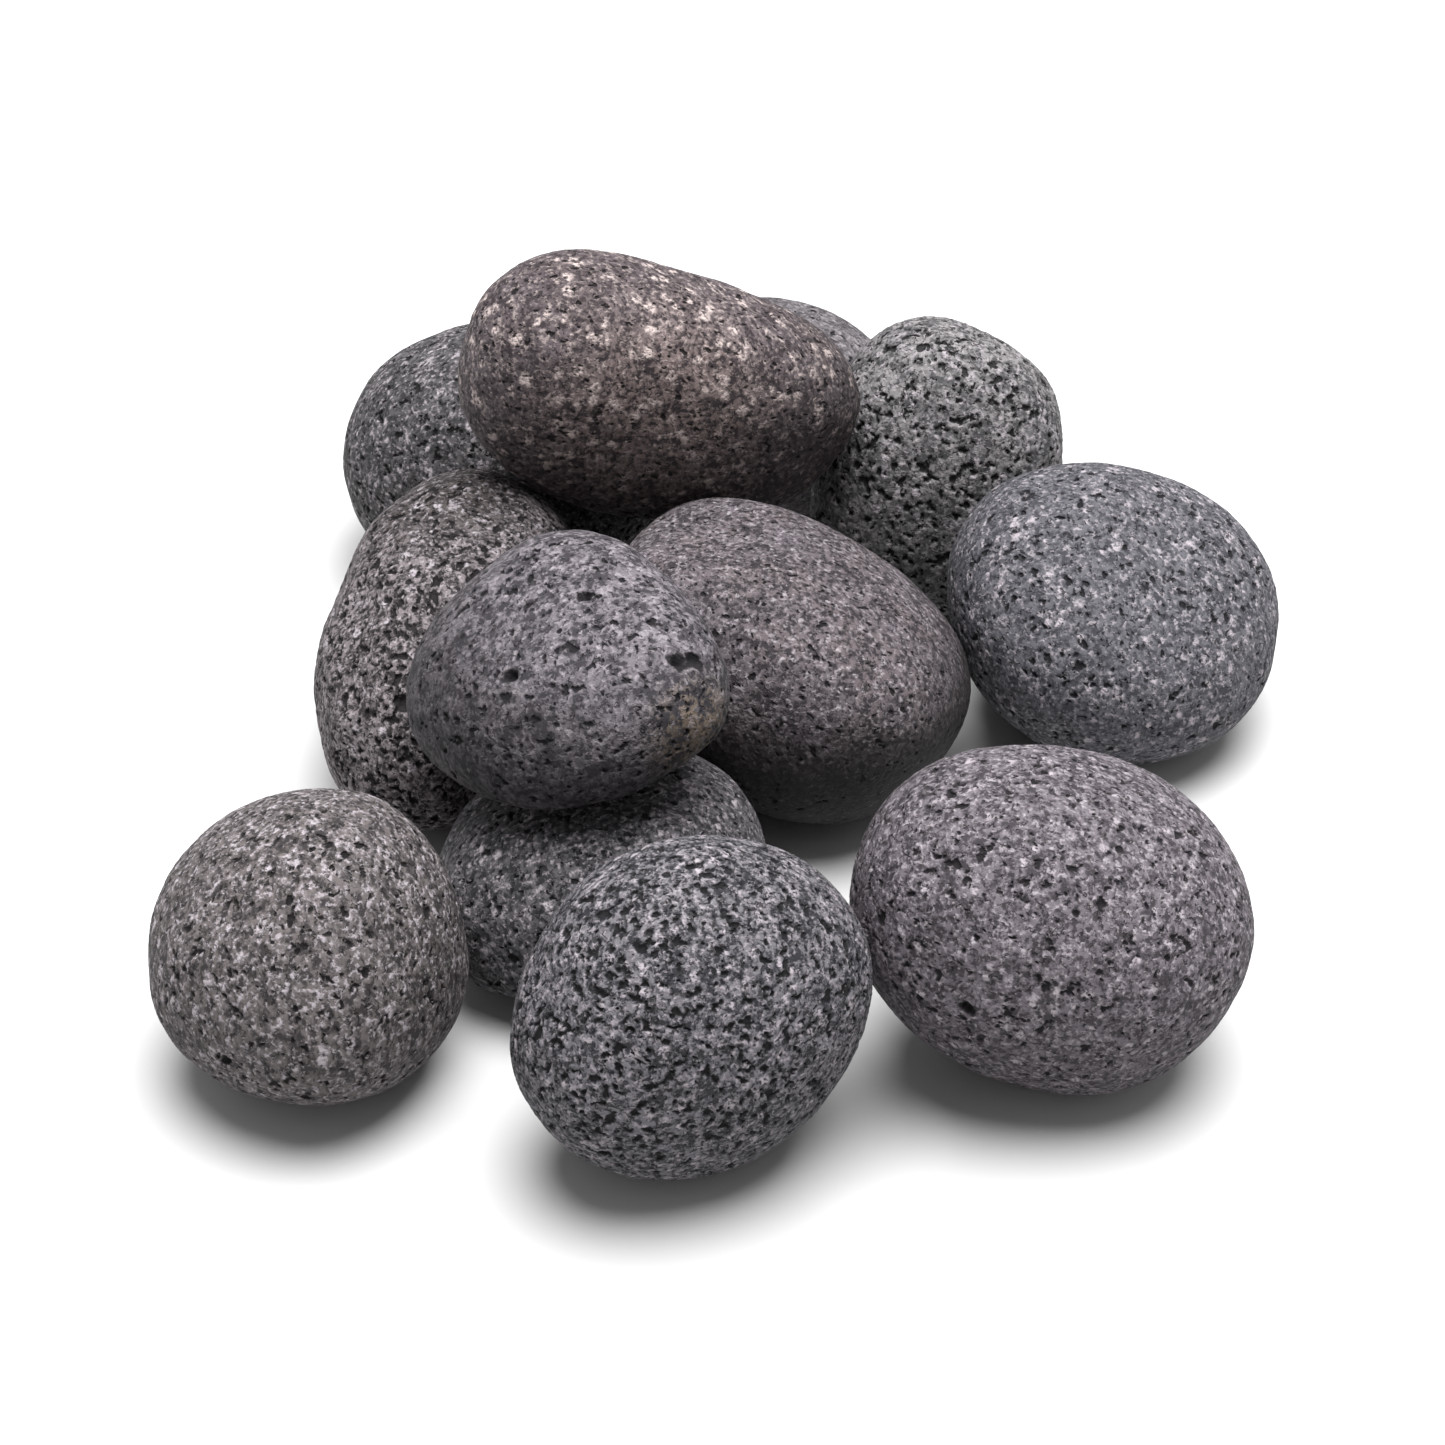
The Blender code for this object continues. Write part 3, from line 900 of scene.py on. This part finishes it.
def ground_stones() -> list[HeapStone]:
    """Describe the stones that stand on the ground.

    Returns:
        The ten stones.
    """
    return [
        HeapStone(
            "centre_stone",
            BasaltFinish(
                "mauve",
                shade=(0.024, 0.020, 0.023),
                body=(0.105, 0.089, 0.100),
                blush=(0.131, 0.104, 0.106),
                mineral=Mineral.DUSTED,
                pores=Pores.FINE,
                # painted shade towards the foot
                painted_foot_shade=0.92,
                painted_shade_start=0.74,
                painted_shade_end=0.42,
                seed=1.0,
            ),
            Wear(lump_height=0.0008, ripple_height=0.0002, seed=1.0),
            dents=(Dent(158, 58, 0.021, 0.0030),),
        ),
        HeapStone(
            "right_stone",
            BasaltFinish(
                "blue_grey",
                shade=(0.037, 0.037, 0.045),
                body=(0.109, 0.106, 0.121),
                blush=(0.110, 0.107, 0.118),
                mottle=0.22,
                seed=2.0,
            ),
            Wear(seed=2.0),
            dents=(Dent(140, 61, 0.012, 0.0012),),
        ),
        HeapStone(
            "back_right_stone",
            BasaltFinish(
                "green_grey",
                shade=(0.062, 0.060, 0.063),
                body=(0.211, 0.202, 0.206),
                blush=(0.180, 0.173, 0.181),
                pores=Pores.COARSE,
                mottle=0.45,
                seed=3.0,
            ),
            Wear(ripple_height=0.0004, grain_height=0.0003, seed=3.0),
        ),
        HeapStone(
            "back_middle_stone",
            BasaltFinish(
                "pale_grey",
                shade=(0.050, 0.046, 0.050),
                body=(0.135, 0.124, 0.132),
                blush=(0.140, 0.125, 0.137),
                mineral=Mineral.DUSTED,
                pores=Pores.FINE,
                seed=4.0,
            ),
            Wear(ripple_height=0.0002, seed=4.0),
        ),
        HeapStone(
            "under_stone",
            BasaltFinish(
                "dark_grey",
                shade=(0.020, 0.019, 0.022),
                body=(0.090, 0.085, 0.092),
                blush=(0.080, 0.075, 0.083),
                # painted shade towards the foot
                painted_foot_shade=0.5,
                seed=5.0,
            ),
            Wear(seed=5.0),
        ),
        HeapStone(
            "left_stone",
            BasaltFinish(
                "brown_grey",
                shade=(0.024, 0.020, 0.021),
                body=(0.179, 0.156, 0.165),
                blush=(0.169, 0.145, 0.148),
                pores=Pores.CROWDED,
                # painted shade towards the foot
                painted_foot_shade=0.05,
                stain=Stain(95, 58, 0.026, (0.070, 0.059, 0.058)),
                seed=6.0,
            ),
            Wear(lump_height=0.0018, facet_depth=0.0018, seed=6.0),
            dents=(
                Dent(-154, 41, 0.009, 0.0016),
                Dent(-125, 20, 0.009, 0.0018),
                Dent(-116, 0, 0.009, 0.0014),
                Dent(-103, 19, 0.0024, 0.0012),
            ),
        ),
        HeapStone(
            "back_left_stone",
            BasaltFinish(
                "neutral_grey",
                shade=(0.022, 0.021, 0.023),
                body=(0.083, 0.078, 0.082),
                blush=(0.076, 0.070, 0.077),
                seed=7.0,
            ),
            Wear(seed=7.0),
            dents=(Dent(-135, 0, 0.0018, 0.0018),),
        ),
        HeapStone(
            "front_left_stone",
            BasaltFinish(
                "streaked_brown",
                shade=(0.030, 0.026, 0.027),
                body=(0.120, 0.105, 0.105),
                blush=(0.122, 0.104, 0.103),
                mineral=Mineral.STREAKED,
                stretch=1.9,
                # painted shade towards the foot
                painted_foot_shade=0.4,
                seed=8.0,
            ),
            Wear(seed=8.0),
            dents=(Dent(-119, -11, 0.0017, 0.0016),),
        ),
        HeapStone(
            "front_middle_stone",
            BasaltFinish(
                "pitted_blue",
                shade=(0.022, 0.022, 0.026),
                body=(0.151, 0.142, 0.157),
                blush=(0.137, 0.130, 0.146),
                pores=Pores.CROWDED,
                seed=9.0,
            ),
            Wear(grain_height=0.00028, seed=9.0),
        ),
        HeapStone(
            "front_right_stone",
            BasaltFinish(
                "clustered_mauve",
                shade=(0.036, 0.031, 0.036),
                body=(0.140, 0.123, 0.140),
                blush=(0.136, 0.118, 0.135),
                # painted shade towards the foot
                painted_foot_shade=0.5,
                mottle=0.30,
                seed=10.0,
            ),
            Wear(seed=10.0),
            dents=(Dent(-120, 4, 0.0022, 0.0018), Dent(-143, 41, 0.007, 0.0010)),
        ),
    ]


def upper_stones() -> list[HeapStone]:
    """Describe the stones that lie on the others.

    Returns:
        The two stones.
    """
    return [
        HeapStone(
            "upper_front_stone",
            BasaltFinish(
                "light_mauve",
                shade=(0.036, 0.032, 0.038),
                body=(0.155, 0.140, 0.155),
                blush=(0.146, 0.131, 0.144),
                mineral=Mineral.DUSTED,
                mottle=0.6,
                stain=Stain(-46, 6, 0.014, (0.200, 0.152, 0.112)),
                # painted shade towards the foot
                painted_foot_shade=0.66,
                painted_shade_start=1.0,
                painted_shade_end=0.50,
                seed=11.0,
            ),
            Wear(lump_height=0.0012, seed=11.0),
            dents=(
                Dent(-121, 29, 0.0021, 0.0024),
                Dent(-49, 75, 0.0019, 0.0018),
                Dent(-42, 28, 0.0026, 0.0020),
                Dent(-36, 25, 0.0022, 0.0016),
                Dent(-41, 16, 0.0070, 0.0010),
            ),
        ),
        HeapStone(
            "top_stone",
            BasaltFinish(
                "red_brown",
                shade=(0.032, 0.024, 0.027),
                body=(0.095, 0.077, 0.085),
                blush=(0.108, 0.081, 0.080),
                crystal=(0.55, 0.46, 0.44),
                mineral=Mineral.BLOTTED,
                # painted shade towards the foot
                painted_foot_shade=0.5,
                mottle=0.35,
                stain=Stain(-90, 12, 0.034, (0.190, 0.146, 0.140)),
                painted_shade_start=0.85,
                painted_shade_end=0.35,
                pores=Pores.FINE,
                seed=12.0,
            ),
            Wear(lump_height=0.0012, seed=12.0),
            dents=(Dent(171, 56, 0.034, -0.0014), Dent(44, 50, 0.030, 0.0006)),
        ),
    ]


@dataclass
class Studio:
    """A pale floor, soft light and the camera. Lengths are in metres and angles in degrees."""

    aim: tuple[float, float, float] = (-0.0038, -0.0164, 0.030)
    distance: float = 0.95  # from the aim to the camera
    climb: float = 37.0  # how far above the horizon the camera is
    lens: float = 118.3  # in millimetres
    nearest: float = 0.01  # what is nearer to the camera than this isn't seen
    floor_size: float = 20.0
    floor_shade: float = 0.60
    floor_roughness: float = 0.9
    sky_strength: float = 0.38
    key_place: tuple[float, float, float] = (0.12, 0.03, 1.4)
    key_width: float = 48.0  # how wide the light is in the sky
    key_strength: float = 6.5

    def build(self) -> None:
        """Set the floor, the light and the camera up."""
        self._floor()
        self._sky()
        bpy.context.scene.view_settings.view_transform = "Standard"
        self._key_light()
        self._camera()

    def _floor(self) -> None:
        """Lay a plain pale floor under the heap."""
        half = self.floor_size / 2
        mesh = bpy.data.meshes.new("floor")
        corners = [(-half, -half, 0), (half, -half, 0), (half, half, 0), (-half, half, 0)]
        mesh.from_pydata(corners, [], [(0, 1, 2, 3)])
        floor = bpy.data.objects.new("floor", mesh)
        material = bpy.data.materials.new("pale_floor")
        material.use_nodes = True
        shader = material.node_tree.nodes["Principled BSDF"]
        shade = self.floor_shade
        shader.inputs["Base Color"].default_value = (shade, shade, shade, 1)
        shader.inputs["Roughness"].default_value = self.floor_roughness
        floor.data.materials.append(material)
        bpy.context.scene.collection.objects.link(floor)

    def _sky(self) -> None:
        """Light the scene evenly from all round."""
        world = bpy.data.worlds.new("studio")
        world.use_nodes = True
        sky = world.node_tree.nodes["Background"]
        sky.inputs["Color"].default_value = (1, 1, 1, 1)
        sky.inputs["Strength"].default_value = self.sky_strength
        bpy.context.scene.world = world

    def _key_light(self) -> None:
        """Hang a wide soft light high over the heap, a little to the right."""
        light = bpy.data.lights.new("key", "SUN")
        light.angle = math.radians(self.key_width)
        light.energy = self.key_strength
        lamp = bpy.data.objects.new("key", light)
        lamp.rotation_euler = (-Vector(self.key_place)).to_track_quat("-Z", "Y").to_euler()
        bpy.context.scene.collection.objects.link(lamp)

    def _camera(self) -> None:
        """Put the camera in front of the heap, looking down on it."""
        lens = bpy.data.cameras.new("camera")
        lens.lens = self.lens
        lens.clip_start = self.nearest
        camera = bpy.data.objects.new("camera", lens)
        climb = math.radians(self.climb)
        back = Vector((0, -math.cos(climb), math.sin(climb)))
        camera.location = Vector(self.aim) + back * self.distance
        camera.rotation_euler = (-back).to_track_quat("-Z", "Y").to_euler()
        bpy.context.scene.collection.objects.link(camera)
        bpy.context.scene.camera = camera


def main() -> None:
    """Build the heap and the studio."""
    logging.basicConfig(level=logging.INFO)
    StoneHeap(ground_stones() + upper_stones()).build()
    Studio().build()


if __name__ == "__main__":
    main()
